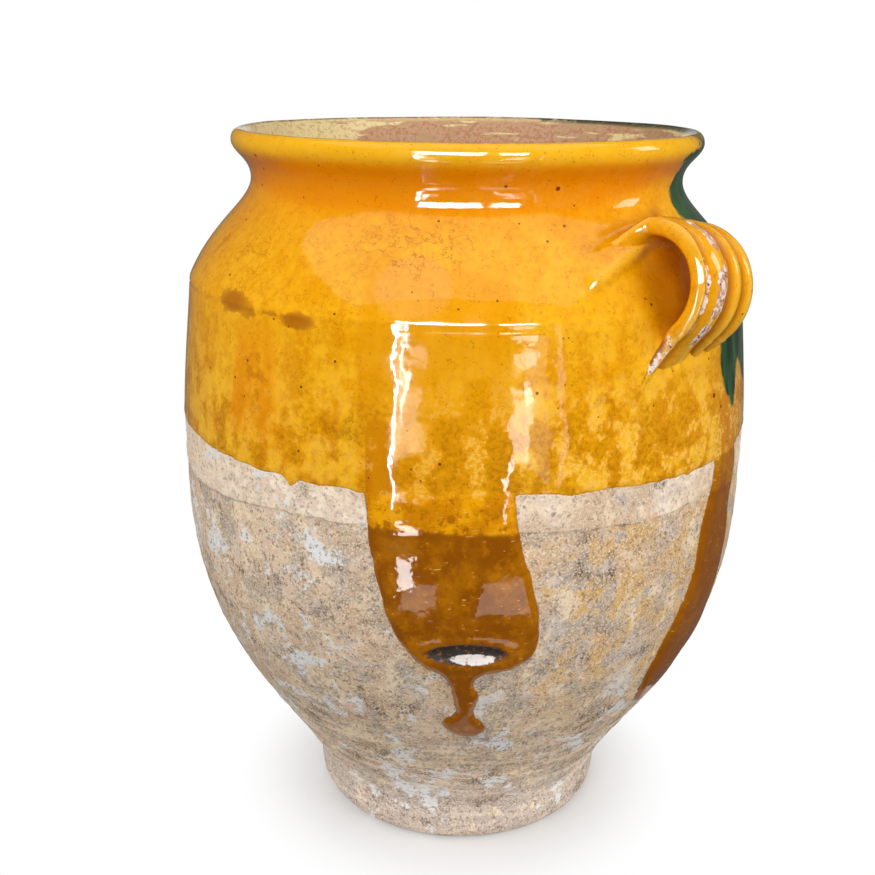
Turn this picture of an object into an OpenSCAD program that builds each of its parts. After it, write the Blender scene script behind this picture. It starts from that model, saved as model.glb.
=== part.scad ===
// Confit pot: a thrown jar of coarse earthenware, dipped in yellow glaze on its upper two thirds,
// with a rolled lip and two ribbed strap handles that bridge the turning line of the shoulder.
// The pot is one fired piece: body, handles, glaze coat and glaze runs belong to one solid.
// Origin at the middle of the base, Z up, a handle on each side along X. The pictured side, with the
// broad glaze run, lies between -Y and +X, and the handle seen in full is the one on +X.

/* [Body] */
// Diameter of the low foot band
foot_d = 139; // [120:1:165]
// Height of the foot band
foot_h = 21; // [14:1:28]
// Rounding of the worn bottom edge
foot_round = 8.5; // [4:0.5:11]
// Largest diameter of the bare clay belly
belly_d = 256; // [236:1:285]
// Rise from the foot band to the widest stretch
belly_rise = 143; // [120:1:175]
// Height of the widest, nearly straight stretch
belly_flat = 22; // [10:1:40]
// Rise from the widest stretch to the turning line of the shoulder
upper_rise = 71.3; // [58:0.1:90]
// Diameter at the turning line
shoulder_d = 246; // [228:1:254]
// Depth of the turning line
line_depth = 0.6; // [0.3:0.1:1.2]
// Rise from the turning line to the narrowest part of the neck
shoulder_rise = 41.9; // [36:0.1:50]
// Smallest diameter of the neck
neck_d = 189; // [172:1:202]
// Rise from the neck to the crest of the lip
lip_rise = 20.8; // [16:0.1:26]
// How far the rolled lip stands out from the neck
lip_out = 8.1; // [5:0.1:12]
// How far the crest lies inside the lip's edge
lip_round = 4; // [2.5:0.1:5.5]
// Wall thickness
wall = 8.5; // [6.5:0.1:11]
// Thickness of the floor
floor_t = 10; // [7:0.5:14]

/* [Handles] */
// Lean of the handle's loop out of the upright
handle_lean = 8.5; // [0:0.5:14]
// Radius of the loop at the middle of the strap
loop_r = 22.2; // [19:0.1:26]
// How far the middle of the loop lies inside the turning line
loop_in = 9.5; // [7:0.1:12]
// How far the middle of the loop lies above the turning line
loop_up = 8.2; // [5:0.1:12]
// Width of the strap
strap_w = 37; // [30:0.5:42]
// Thickness of the strap
strap_t = 8; // [6.5:0.1:10]
// Rounding of the strap's edges
strap_edge = 1.4; // [0.8:0.1:2]
// Depth of the grooves pulled into the strap's outer face
groove = 1.9; // [0.8:0.1:2.4]
// Thickness of the clay smeared from the strap's ends onto the wall
smear_t = 3.8; // [2.5:0.1:5]

/* [Glaze] */
// Thickness of the glaze coat at its lower edge
glaze_t = 0.8; // [0.5:0.1:1.2]
// How far the coat hangs below the turning line
coat_drop = 61.8; // [48:0.1:74]
// Thickness of the glaze runs below the coat
run_t = 1.4; // [1:0.1:2.2]
// How far the runs reach up under the coat
run_lap = 5; // [3:0.5:8]
// Direction of the front run, measured back from the +X handle
front_turn = 44; // [36:1:56]
// Width of the front run where it leaves the coat
run_w = 56; // [44:1:66]
// Length of the front run's broad part below the coat
run_len = 78; // [64:1:86]
// Length of the narrow tail that hangs from the front run
tail_len = 36; // [28:1:40]
// Width of the tail
tail_w = 8.4; // [5:0.1:12]
// Width of the drop at the tail's end
drop_w = 17; // [13:0.5:20]
// Direction of the second run, measured onwards from the +X handle
side_turn = 10; // [4:1:20]
// Width of the second run
side_w = 28; // [20:1:34]
// Length of the second run below the coat
side_len = 118; // [96:1:124]

/* [Hidden] */

foot_r = foot_d / 2;
belly_r = belly_d / 2;
shoulder_r = shoulder_d / 2;
neck_r = neck_d / 2;
lip_r = neck_r + lip_out;
crest_r = lip_r - lip_round;
belly_lo = foot_h + belly_rise;
belly_hi = belly_lo + belly_flat;
shoulder_z = belly_hi + upper_rise;
neck_z = shoulder_z + shoulder_rise;
top_z = neck_z + lip_rise;
lip_z = top_z - 0.245 * lip_rise;
coat_z = shoulder_z - coat_drop;
full_turn = 64;

// Plane curves: points of a cubic curve and their offsets along the normal
function cubic(a, b, c, d, t) =
    pow(1 - t, 3) * a + 3 * pow(1 - t, 2) * t * b + 3 * (1 - t) * t * t * c + pow(t, 3) * d;
function slope(a, b, c, d, t) =
    3 * pow(1 - t, 2) * (b - a) + 6 * (1 - t) * t * (c - b) + 3 * t * t * (d - c);
function shifted(p, v, out) = p + out * [v[1], -v[0]] / norm(v);
function run_of(k, n, out = 0) =
    [for (i = [0:n]) let (t = i / n)
        shifted(cubic(k[0], k[1], k[2], k[3], t), slope(k[0], k[1], k[2], k[3], t), out)];

// The stretches of the outer profile, each [radius, height] at four control points
belly_k = [
    [foot_r + 1, foot_h],
    [foot_r + 1 + 0.102 * belly_rise, foot_h + 0.253 * belly_rise],
    [belly_r, belly_lo - 0.539 * belly_rise],
    [belly_r, belly_lo]];
upper_k = [
    [belly_r, belly_hi],
    [belly_r, belly_hi + 0.415 * upper_rise],
    [shoulder_r + 0.24 * (belly_r - shoulder_r), shoulder_z - 0.32 * upper_rise],
    [shoulder_r, shoulder_z]];
shoulder_k = [
    [shoulder_r, shoulder_z],
    [shoulder_r - 0.366 * (shoulder_r - neck_r), shoulder_z + 0.553 * shoulder_rise],
    [neck_r, neck_z - 0.248 * shoulder_rise],
    [neck_r, neck_z]];
under_lip_k = [
    [neck_r, neck_z],
    [neck_r, neck_z + 0.53 * (lip_z - neck_z)],
    [lip_r, lip_z - 0.32 * (lip_z - neck_z)],
    [lip_r, lip_z]];
over_lip_k = [
    [lip_r, lip_z],
    [lip_r, lip_z + 0.6 * (top_z - lip_z)],
    [crest_r + 0.55 * lip_round, top_z],
    [crest_r, top_z]];
throat_k = [
    [crest_r, top_z],
    [crest_r - 0.65 * lip_round, top_z],
    [neck_r - 0.53 * wall, neck_z + 0.5 * lip_rise],
    [neck_r - wall, neck_z]];

// Bare clay from the table to the turning line, the bottom edge a quarter of an ellipse
clay = concat(
    [for (a = [-90:22.5:0]) [foot_r - foot_round * (1 - cos(a)), 1.06 * foot_round * (1 + sin(a))]],
    run_of(belly_k, 10),
    run_of(upper_k, 8));
clay_zr = [for (p = clay) [p[1], p[0]]];
function clay_r(z) = lookup(z, clay_zr);
function coat(z) = z < coat_z ? 0 : glaze_t * max(0, shoulder_z - z) / (shoulder_z - coat_z);
step_top = coat_z + 1.6 * glaze_t;
outer_pts = concat(
    [for (p = clay) if (p[1] < coat_z - 1.5) p],
    [[clay_r(coat_z), coat_z], [clay_r(coat_z) + 0.75 * glaze_t, coat_z + 0.45 * glaze_t],
        [clay_r(step_top) + coat(step_top), step_top]],
    [for (p = clay) if (p[1] > step_top + 1.5 && p[1] < shoulder_z - 2) p + [coat(p[1]), 0]],
    [[clay_r(shoulder_z - 2 * line_depth), shoulder_z - 2 * line_depth],
        [shoulder_r - line_depth, shoulder_z - 0.5 * line_depth],
        [shoulder_r - 0.4 * line_depth, shoulder_z + line_depth]],
    [for (p = run_of(shoulder_k, 7)) if (p[1] > shoulder_z + 2) p],
    [for (p = run_of(under_lip_k, 5)) if (p[1] > neck_z + 0.5) p],
    [for (p = run_of(over_lip_k, 4)) if (p[1] > lip_z + 0.2) p]);
floor_corner = run_of(belly_k, 8, -wall)[0];
inner_pts = concat(
    [for (p = run_of(throat_k, 4)) if (p[1] < top_z - 0.1) p],
    [for (i = [4:-1:1]) run_of(shoulder_k, 5, -wall)[i]],
    [for (i = [2:-1:1]) run_of(upper_k, 3, -wall)[i]],
    [[belly_r - wall, belly_hi]],
    [for (i = [6:-1:1]) run_of(belly_k, 6, -wall)[i]],
    run_of([floor_corner, floor_corner - 0.6 * (floor_corner[1] - floor_t) * [0.39, 1],
        [floor_corner[0] - 0.9 * floor_t, floor_t], [floor_corner[0] - 1.9 * floor_t, floor_t]], 3),
    [[0, floor_t]]);

// Radius and slope of the outer surface, read by the handles and their roots
skin = concat(clay_zr, [for (p = run_of(shoulder_k, 12)) if (p[1] > shoulder_z + 0.5) [p[1], p[0]]]);
function skin_r(z) = lookup(z, skin);
function skin_lean(z) = atan2(skin_r(z - 2) - skin_r(z + 2), 4);

// Thrown body, hollow, with the rolled lip and the coat's lower edge
module body() {
    rotate_extrude($fn = full_turn) polygon(concat([[0, 0]], outer_pts, inner_pts));
}

// Strap section: a narrow near rib, a broad worn rib and two more, with grooves between
rib_at = [-0.5, -0.41, 0, 0.24, 0.5];
rib_low = [0.11, 0, 0.02, 0.09];
function rib(i, u) = loop_r + strap_t * (0.5 - rib_low[i]) - groove * pow(2 * u - 1, 2);
strap_in = loop_r - strap_t / 2;
strap_lip = loop_r + strap_t / 2 - groove - strap_edge;
strap_pts = concat(
    [[strap_in + 0.6 * strap_edge, -strap_w / 2], [strap_lip, -strap_w / 2]],
    [for (i = [0:3]) for (u = i == 0 ? [0.35, 0.75, 1] : i == 1 ? [0.2, 0.4, 0.6, 0.8, 1] :
        i == 2 ? [0.25, 0.5, 0.75, 1] : [0.25, 0.5, 0.75])
        [rib(i, u), strap_w * (rib_at[i] + (rib_at[i + 1] - rib_at[i]) * u)]],
    [[strap_lip, strap_w / 2], [strap_in + 0.6 * strap_edge, strap_w / 2],
        [strap_in, strap_w / 2 - 1.7 * strap_edge], [strap_in, 1.7 * strap_edge - strap_w / 2]]);

// The loop runs from inside the wall below the turning line to inside the wall above it
loop_x = shoulder_r - loop_in;
loop_z = shoulder_z + loop_up;
function strap_z(a) = loop_z + loop_r * sin(a);
function sunk(a) = (skin_r(strap_z(a)) - loop_x - loop_r * cos(a)) * cos(skin_lean(strap_z(a)));
function upper_end(a) = (a > 170 || sunk(a) > 0.5 * wall) ? a : upper_end(a + 1);
function lower_end(a) = (a < -120 || sunk(a) > 0.5 * wall) ? a : lower_end(a - 1);
arc_from = lower_end(-30);
arc_to = upper_end(60);

// Clay smeared from a strap's end onto the wall, a flattened swelling that lies along the surface
module smear(side, z, long, high, spin) {
    rotate([0, 0, side / skin_r(z) * 180 / PI]) translate([skin_r(z), 0, z])
        rotate([0, -skin_lean(z), 0]) rotate([spin, 0, 0])
        scale([smear_t, long, high]) sphere(r = 1, $fn = 16);
}

// One handle: the strap's loop and the smeared clay at its roots
module handle() {
    translate([loop_x, 0, loop_z]) rotate([-handle_lean, 0, 0]) rotate([90, 0, 0])
        rotate([0, 0, arc_from]) rotate_extrude(angle = arc_to - arc_from, $fn = 36)
        polygon([for (p = strap_pts) [p[0], -p[1]]]);
    smear(-0.46 * strap_w, strap_z(arc_to) - 0.45 * strap_t, 0.62 * strap_w, 0.23 * strap_w, 18);
    smear(-0.43 * strap_w, strap_z(arc_from) - 0.35 * strap_t, 0.22 * strap_w, 0.4 * strap_w, -24);
    smear(-0.06 * strap_w, strap_z(arc_from) - 0.25 * strap_t, 0.46 * strap_w, 0.2 * strap_w, 0);
}

// Skin of glaze over the bare belly, as thick as the runs, whose top sinks into the coat
skin_low = coat_z - max(run_len + tail_len, side_len) - run_lap;
module run_skin() {
    line = concat([[clay_r(skin_low), skin_low]],
        [for (p = clay) if (p[1] > skin_low + 1 && p[1] < coat_z - 3) p],
        [[clay_r(coat_z - 2), coat_z - 2]]);
    top = [clay_r(coat_z + run_lap), coat_z + run_lap];
    rotate_extrude($fn = full_turn) polygon(concat(
        [for (p = line) p + [run_t, 0]],
        [top + [0.6 * glaze_t, 0], top - [wall / 3, 0]],
        [for (i = [len(line) - 1:-1:0]) line[i] - [wall / 3, 0]]));
}

// Outline of the front run: a broad lobe with a bare scar, a narrow tail and a drop at its end
lobe_z = coat_z - run_len;
module front_outline() {
    w = run_w;
    h = run_len;
    difference() {
        polygon(concat(
            run_of([[-0.7 * w, coat_z + 2 * run_lap], [-0.65 * w, coat_z - 0.42 * h],
                [-0.52 * w, lobe_z + 0.115 * h], [-0.16 * w, lobe_z + 0.006 * h]], 8),
            run_of([[0.07 * w, lobe_z - 0.026 * h], [0.285 * w, lobe_z],
                [0.523 * w, lobe_z + 0.077 * h], [0.505 * w, lobe_z + 0.244 * h]], 5),
            run_of([[0.5 * w, lobe_z + 0.3 * h], [0.497 * w, lobe_z + 0.487 * h],
                [0.354 * w, coat_z - 0.31 * h], [0.28 * w, coat_z + 2 * run_lap]], 4)));
        translate([0.007 * w, lobe_z + 0.159 * h]) scale([0.279 * w, 0.059 * h]) circle(r = 1, $fn = 20);
    }
    polygon(concat(
        run_of([[-0.18 * w, lobe_z + 0.04 * h], [-0.11 * w, lobe_z - 0.06 * h],
            [-0.6 * tail_w, lobe_z - 0.3 * tail_len], [-0.45 * tail_w, lobe_z - 0.72 * tail_len]], 4),
        run_of([[0.55 * tail_w, lobe_z - 0.72 * tail_len], [0.65 * tail_w, lobe_z - 0.33 * tail_len],
            [0.05 * w, lobe_z - 0.05 * h], [0.14 * w, lobe_z + 0.04 * h]], 4)));
    translate([0.05 * tail_w, lobe_z - tail_len + 0.4 * drop_w]) scale([drop_w, 0.77 * drop_w] / 2)
        circle(r = 1, $fn = 16);
}

// Outline of the second run, which leans to the front as it falls
module side_outline() {
    w = side_w;
    h = side_len;
    tip = coat_z - h;
    polygon(concat(
        run_of([[-0.14 * w, coat_z + 2 * run_lap], [-0.21 * w, coat_z - 0.26 * h],
            [-0.86 * w, coat_z - 0.6 * h], [-0.84 * w, tip + 0.19 * h]], 6),
        run_of([[-0.84 * w, tip + 0.12 * h], [-0.79 * w, tip + 0.05 * h], [-0.61 * w, tip],
            [-0.46 * w, tip]], 3),
        run_of([[-0.39 * w, tip + 0.02 * h], [-0.07 * w, tip + 0.1 * h], [0.46 * w, tip + 0.25 * h],
            [0.48 * w, tip + 0.52 * h]], 5),
        run_of([[0.5 * w, tip + 0.6 * h], [0.5 * w, coat_z - 0.29 * h], [0.57 * w, coat_z - 0.14 * h],
            [0.86 * w, coat_z + 2 * run_lap]], 4)));
}

module glaze_runs() {
    intersection() {
        run_skin();
        union() {
            rotate([90, 0, 90 - front_turn]) linear_extrude(height = belly_d) front_outline();
            rotate([90, 0, 90 + side_turn]) linear_extrude(height = belly_d) side_outline();
        }
    }
}

module pot() {
    color([0.83, 0.58, 0.2]) union() {
        body();
        glaze_runs();
        handle();
        rotate([0, 0, 180]) handle();
    }
}

pot();
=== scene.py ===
import math

import bpy
import numpy as np
from mathutils import Matrix, Vector


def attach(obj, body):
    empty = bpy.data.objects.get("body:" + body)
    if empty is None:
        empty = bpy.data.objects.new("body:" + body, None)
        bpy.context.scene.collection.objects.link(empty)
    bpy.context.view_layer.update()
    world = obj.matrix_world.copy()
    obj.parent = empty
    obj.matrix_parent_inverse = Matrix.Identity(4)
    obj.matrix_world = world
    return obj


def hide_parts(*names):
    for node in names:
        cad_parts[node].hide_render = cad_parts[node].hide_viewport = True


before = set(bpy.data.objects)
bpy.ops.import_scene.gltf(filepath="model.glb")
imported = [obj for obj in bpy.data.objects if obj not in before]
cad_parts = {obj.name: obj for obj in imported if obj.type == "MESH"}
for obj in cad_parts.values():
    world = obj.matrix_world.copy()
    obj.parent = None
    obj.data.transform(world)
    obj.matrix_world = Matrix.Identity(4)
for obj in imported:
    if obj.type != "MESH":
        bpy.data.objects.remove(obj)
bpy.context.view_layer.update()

MM = 0.001
UP = np.array([0, 0, 1.0])

# Thrown body, the same values as the part's source
FOOT_R, FOOT_H, FOOT_ROUND = 69.5, 21.0, 8.5
BELLY_R, BELLY_LO, BELLY_HI = 128.0, 164.0, 186.0
SHOULDER_R, SHOULDER_Z = 123.0, 257.3
NECK_R, NECK_Z = 94.5, 299.2
LIP_R, LIP_Z = 102.6, 314.9
CREST_R, TOP_Z = 98.6, 320.0
WALL, FLOOR_T = 8.5, 10.0
COAT_Z, GLAZE_T = 195.5, 0.7

# Handles, the same values as the part's source
HANDLE_LEAN = math.radians(8.5)
LOOP_R, LOOP_X, LOOP_Z = 22.2, 113.5, 265.5
STRAP_W, STRAP_T, STRAP_EDGE, GROOVE = 37.0, 8.0, 1.4, 1.9
RIB_AT = (-0.5, -0.41, 0.0, 0.24, 0.5)
RIB_LOW = (0.11, 0.0, 0.02, 0.09)
# Ends of the handle's free loop as angles round it, heights of its roots, and how deep they are sunk
LOOP_FROM, LOOP_TO = math.radians(-46), math.radians(97)
LOWER_ROOT_Z, UPPER_ROOT_Z, ROOT_SUNK = 249.5, 279.0, 0.9

# The photograph is taken from this many degrees round from -Y towards the +X handle
PICTURED = 46.0
# Degrees either side of the pictured middle that hold the shapes given sideways, as the camera sees them
FRONT_HALF = 60
# Millimetres along the belly's wall to one degree round it
DEGREE_MM = 2.2
# Depths of what lies well outside a shape, and of what isn't worn
FAR_OUT, NOT_WORN = -20.0, -9.0
# Radius of the fans that close the base and the floor inside
HUB_R = 4.0


def cubic(a, b, c, d, count=60):
    """Points of a cubic curve with these four control points."""
    t = np.linspace(0, 1, count)[:, None]
    a, b, c, d = (np.array(p, float) for p in (a, b, c, d))
    return (1 - t) ** 3 * a + 3 * (1 - t) ** 2 * t * b + 3 * (1 - t) * t * t * c + t ** 3 * d


def joined(*pieces):
    """One line of points from several, without the repeats where they meet."""
    line = np.concatenate(pieces)
    keep = np.concatenate([[True], np.hypot(*np.diff(line, axis=0).T) > 1e-6])
    return line[keep]


def right_of(line):
    """Unit vectors to the right of a line of [radius, height] points that runs upwards."""
    way = np.gradient(line, axis=0)
    way /= np.hypot(way[:, 0], way[:, 1])[:, None]
    return np.stack([way[:, 1], -way[:, 0]], 1)


def lengths_along(line):
    """Distance along a line from its start to each of its points."""
    return np.concatenate([[0], np.cumsum(np.hypot(*np.diff(line, axis=0).T))])


# The outer wall from the foot to the turning line and on to the neck, then the lip, as in the source
foot_turn = np.radians(np.linspace(-90, 0, 20))
foot_edge = np.stack([FOOT_R - FOOT_ROUND * (1 - np.cos(foot_turn)),
                      1.06 * FOOT_ROUND * (1 + np.sin(foot_turn))], 1)
belly_rise = BELLY_LO - FOOT_H
upper_rise = SHOULDER_Z - BELLY_HI
neck_rise = NECK_Z - SHOULDER_Z
lip_rise = LIP_Z - NECK_Z
belly = cubic((FOOT_R + 1, FOOT_H), (FOOT_R + 1 + 0.102 * belly_rise, FOOT_H + 0.253 * belly_rise),
              (BELLY_R, BELLY_LO - 0.539 * belly_rise), (BELLY_R, BELLY_LO), 160)
upper = cubic((BELLY_R, BELLY_HI), (BELLY_R, BELLY_HI + 0.415 * upper_rise),
              (SHOULDER_R + 0.24 * (BELLY_R - SHOULDER_R), SHOULDER_Z - 0.32 * upper_rise),
              (SHOULDER_R, SHOULDER_Z), 90)
shoulder = cubic((SHOULDER_R, SHOULDER_Z),
                 (SHOULDER_R - 0.366 * (SHOULDER_R - NECK_R), SHOULDER_Z + 0.553 * neck_rise),
                 (NECK_R, NECK_Z - 0.248 * neck_rise), (NECK_R, NECK_Z), 70)
under_lip = cubic((NECK_R, NECK_Z), (NECK_R, NECK_Z + 0.53 * lip_rise),
                  (LIP_R, LIP_Z - 0.32 * lip_rise), (LIP_R, LIP_Z), 40)
over_lip = cubic((LIP_R, LIP_Z), (LIP_R, LIP_Z + 0.6 * (TOP_Z - LIP_Z)),
                 (CREST_R + 0.55 * (LIP_R - CREST_R), TOP_Z), (CREST_R, TOP_Z), 24)
throat = cubic((CREST_R, TOP_Z), (CREST_R - 0.65 * (LIP_R - CREST_R), TOP_Z),
               (NECK_R - 0.53 * WALL, NECK_Z + 0.5 * (TOP_Z - NECK_Z)), (NECK_R - WALL, NECK_Z), 40)
wall_line = joined(foot_edge, belly, upper, shoulder, under_lip)
inner_line = joined(belly, upper, shoulder)
inner_line = (inner_line - WALL * right_of(inner_line))[::-1]
corner = inner_line[-1]
drop = corner[1] - FLOOR_T
floor_turn = cubic(corner, corner - 0.6 * drop * np.array([0.39, 1]),
                   (corner[0] - 0.9 * FLOOR_T, FLOOR_T), (corner[0] - 1.9 * FLOOR_T, FLOOR_T), 12)
whole_line = joined([[HUB_R, 0.0]], wall_line, over_lip, throat, inner_line, floor_turn, [[HUB_R, FLOOR_T]])
wall_way = lengths_along(wall_line)


def wall_r(z):
    """Radius of the bare outer wall at a height."""
    return np.interp(z, wall_line[:, 1], wall_line[:, 0])


def wall_l(z):
    """Distance along the outer wall from the foot to a height."""
    return np.interp(z, wall_line[:, 1], wall_way)


def waves(points, size, seed, count=28):
    """A smooth random field of about -1 to 1, whose swells are about size millimetres apart."""
    rng = np.random.default_rng(seed)
    ways = rng.normal(size=(count, 3))
    ways /= np.linalg.norm(ways, axis=1)[:, None]
    ways *= (2 * math.pi / (size * rng.uniform(0.7, 1.4, count)))[:, None]
    phase = rng.uniform(0, 2 * math.pi, count)
    return np.sin(points @ ways.T + phase).sum(1) / math.sqrt(count)


def smooth(value, low, high):
    """0 below low, 1 above high, and a smooth rise between; high may be the smaller one."""
    t = np.clip((value - low) / (high - low), 0, 1)
    return t * t * (3 - 2 * t)


def hump(value, width):
    """1 at zero, and nearly 0 at twice the width on either side."""
    return np.exp(-(value / width) ** 2)


def rounded(outline, per=5):
    """A closed outline through the given points, with a smooth curve between them."""
    p = np.array(outline, float)
    before, after, beyond = np.roll(p, 1, 0), np.roll(p, -1, 0), np.roll(p, -2, 0)
    out = []
    for t in np.arange(per) / per:
        out.append(0.5 * (2 * p + (after - before) * t + (2 * before - 5 * p + 4 * after - beyond) * t ** 2
                          + (3 * p - before - 3 * after + beyond) * t ** 3))
    return np.stack(out, 1).reshape(-1, 2)


def depth_in(points, outline):
    """Distance from each point to a closed outline, positive inside it."""
    best = np.full(len(points), 1e9)
    inside = np.zeros(len(points), bool)
    for a, b in zip(outline, np.roll(outline, -1, 0)):
        edge = b - a
        along = np.clip((points - a) @ edge / max(edge @ edge, 1e-9), 0, 1)
        best = np.minimum(best, np.hypot(*(points - a - along[:, None] * edge).T))
        crossing = (a[1] > points[:, 1]) != (b[1] > points[:, 1])
        rise = edge[1] if abs(edge[1]) > 1e-9 else 1e-9
        inside ^= crossing & (points[:, 0] < a[0] + (points[:, 1] - a[1]) * edge[0] / rise)
    return np.where(inside, best, -best)


def way_from(points, line):
    """Distance from each point to an open line, and how far along the line its foot lies, 0 to 1."""
    line = np.array(line, float)
    reach = lengths_along(line)
    best = np.full(len(points), 1e9)
    place = np.zeros(len(points))
    for k, (a, b) in enumerate(zip(line[:-1], line[1:])):
        edge = b - a
        along = np.clip((points - a) @ edge / (edge @ edge), 0, 1)
        gap = np.hypot(*(points - a - along[:, None] * edge).T)
        closer = gap < best
        best = np.where(closer, gap, best)
        place = np.where(closer, reach[k] + along * (reach[k + 1] - reach[k]), place)
    return best, place / reach[-1]


def from_chord(points):
    """Outline given as [sideways, height] as the camera sees it, laid on the wall as [round, along]."""
    p = np.array(points, float)
    r = wall_r(p[:, 1])
    return np.stack([r * np.arcsin(p[:, 0] / r), wall_l(p[:, 1])], 1)


def from_turn(points):
    """Outline given as [degrees from the pictured middle, height], laid on the wall as [round, along]."""
    p = np.array(points, float)
    return np.stack([wall_r(p[:, 1]) * np.radians(p[:, 0]), wall_l(p[:, 1])], 1)


# Front run: a broad lobe, a narrow tail and a drop, each point [sideways, height]
FRONT_RUN = ((-41, 206), (-39.6, 196), (-38.2, 190), (-37.7, 180), (-36.7, 172), (-35, 162), (-32.3, 151.5),
             (-30, 143), (-26.4, 135), (-20.8, 126.5), (-15.5, 121.3), (-9.6, 118.2), (-6.4, 113),
             (-4.8, 107), (-3.6, 100), (-4.4, 96), (-7.6, 93.6), (-8.4, 89.8), (-6.2, 85), (-0.5, 82.2),
             (5.6, 82.8), (9, 86.8), (7.6, 91), (4.6, 94.6), (4, 99), (5, 104), (5.3, 108), (3.4, 112),
             (3.8, 116), (8, 118.2), (17.6, 120.7), (24.6, 125.4), (28, 132), (28.4, 139), (27.4, 148.5),
             (24, 161), (21, 172.7), (19.2, 181), (16.6, 194), (15.5, 206))
# Second run, each point [degrees from the pictured middle, height]
SIDE_RUN = ((54, 206), (52.6, 196), (51.5, 179), (49.8, 171), (48.9, 162), (48, 143), (45.8, 129),
            (43.8, 117), (42.6, 103), (42.8, 92), (44.6, 82), (47, 78.5), (50.5, 84), (53.1, 91), (55, 102),
            (59, 111), (59.4, 127), (60.3, 142), (60.8, 158), (60.6, 172), (62.2, 183), (63, 196), (64, 206))
# Green splash, from the lip down past the handle, and round the back
GREEN_SPLASH = ((66, 330), (62.5, 306), (60, 300), (59.4, 294), (59.4, 289.5), (61, 284), (60, 274),
                (57, 262), (55, 248), (54.6, 232), (56, 222), (58.6, 216), (60.4, 211), (62.4, 219),
                (64.5, 231), (68, 224), (72, 216), (76, 222), (80, 236), (86, 246), (92, 240), (97, 246),
                (103, 262), (112, 272), (122, 280), (134, 292), (148, 304), (156, 330))
# Bare scar in the front run, and the pale chip in it: [sideways, height] and half width, half height
SCAR_AT, SCAR_HALF = (0.0, 129.6), (15.7, 5.0)
CHIP_AT, CHIP_HALF = (2.5, 127.0), (8.6, 2.2)
# Lower edge of the coat and of the slip under it: [degrees from the pictured middle, height]
COAT_EDGE = ((-180, 196.5), (-150, 194.6), (-120, 196.8), (-90, 195.2), (-67, 196.7), (-55, 196),
             (-40, 195.2), (-18, 194.7), (7, 195.7), (25, 194.4), (40, 193.2), (52, 193.4), (70, 195),
             (100, 193.8), (130, 196.4), (158, 194.8), (180, 196.5))
SLIP_EDGE = ((-180, 178), (-140, 181), (-100, 177.5), (-70, 176), (-48, 177), (-36, 180.6), (-18, 181),
             (9, 180.8), (20, 179.6), (34, 178.4), (51, 180.2), (80, 178.5), (120, 181), (150, 176.5),
             (180, 178))
# Small drips of the coat's edge: degrees from the pictured middle, width in degrees, length
DRIPS = ((-32, 2.1, 3.6), (-104, 3.0, 5.5), (131, 2.4, 8.0), (172, 3.2, 4.5))
# Brown stains in the glaze: [degrees from the pictured middle, height], half width, half height, strength
STAINS = (((-48.5, 258), 12, 5.5, 0.75), ((-43.5, 255.5), 7, 3.4, 0.6), ((-31.5, 255.4), 9.5, 3.8, 0.75),
          ((-37.5, 256.5), 5, 1.4, 0.5),
          ((-41, 230), 11, 19, 0.32), ((-66, 272), 9, 12, 0.3), ((2, 276), 5, 3.4, 0.22),
          ((24, 226), 13, 12, 0.3), ((33, 212), 12, 9, 0.25), ((-24, 214), 9, 10, 0.3),
          ((150, 240), 16, 20, 0.35), ((-120, 225), 20, 16, 0.3), ((-160, 262), 12, 8, 0.4))
# Places of fine brown lines in the glaze, written as the stains are
MARKS = (((-11, 283.5), 30, 12, 1.0), ((-49, 273), 14, 11, 1.0), ((38, 216), 20, 12, 1.0))
# Middle of the mauve part of the neck's inside, in degrees from the pictured middle
PINK_AT = 160
# Chips in the clay: [degrees from the pictured middle, height], radius, depth
CHIPS = (((31.5, 187.5), 3.6, 0.45), ((24.6, 163), 2.2, 0.5), ((27, 159.5), 3.4, 0.35),
         ((41.5, 151), 1.9, 0.6), ((13, 181.5), 1.6, 0.5), ((21, 183), 1.8, 0.5),
         ((-33.5, 132), 3.6, 0.4), ((-17, 126), 3.2, 0.4), ((-38, 14), 5, 0.7), ((-31, 9), 6, 0.8),
         ((12, 10), 5, 0.5), ((30, 108), 2.6, 0.5))

# Worn patches on the handle's ribs: degrees round the loop, sideways, half length in degrees, half width. The
# last, long and thin on the near rib, is a painted highlight laid as wear
HANDLE_WEAR_AND_GLINT = ((48, -6.0, 14, 3.3), (4, -5.8, 20, 3.9), (-13, -6.4, 10, 3.0), (-38, -7.0, 13, 3.0),
               (66, -8.5, 8, 1.8), (-4, -14.5, 26, 1.0))
# Masks that are the same all over a handle
HANDLE_PLAIN = ((30.0, "coat glaze slip"), (FAR_OUT, "run scar chip"), (-30.0, "green inner"),
                (0.25, "warm"), (0.15, "stain"),
                (0.0, "side_stain bell ochre streak marks band neck pink hole far"))

# Gaps between the rows of the body's grid from one height to another, elsewhere, and where little shows
ROW_GAPS = ((12, 76, 2.8), (76, 200, 1.6), (200, 226, 2.5), (226, 251, 1.7), (251, 290, 1.2),
            (300, 321, 1.6))
OTHER_GAP, HIDDEN_GAP = 2.0, 12.0
# How far down the throat, from the crest, the rows stay close
THROAT_SEEN = 24
# Faces in degrees between which the columns are close, and the gaps there and elsewhere
CLOSE_FROM, CLOSE_TO, CLOSE_GAP, WIDE_GAP = -37, 68, 0.5, 1.55


def within(value, low, rise, fall, high):
    """1 between rise and fall, and smoothly down to 0 at low and at high."""
    return smooth(value, low, rise) * smooth(value, high, fall)


def ovals(face, z, places, outer, inner):
    """The strongest of several soft ovals, each 0 past outer and full within inner, as shares of its size."""
    share = np.zeros(len(face))
    for at, half_w, half_h, strength in places:
        away = np.hypot((face - at[0]) * DEGREE_MM / half_w, (z - at[1]) / half_h)
        share = np.maximum(share, strength * smooth(away, outer, inner))
    return share


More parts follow.
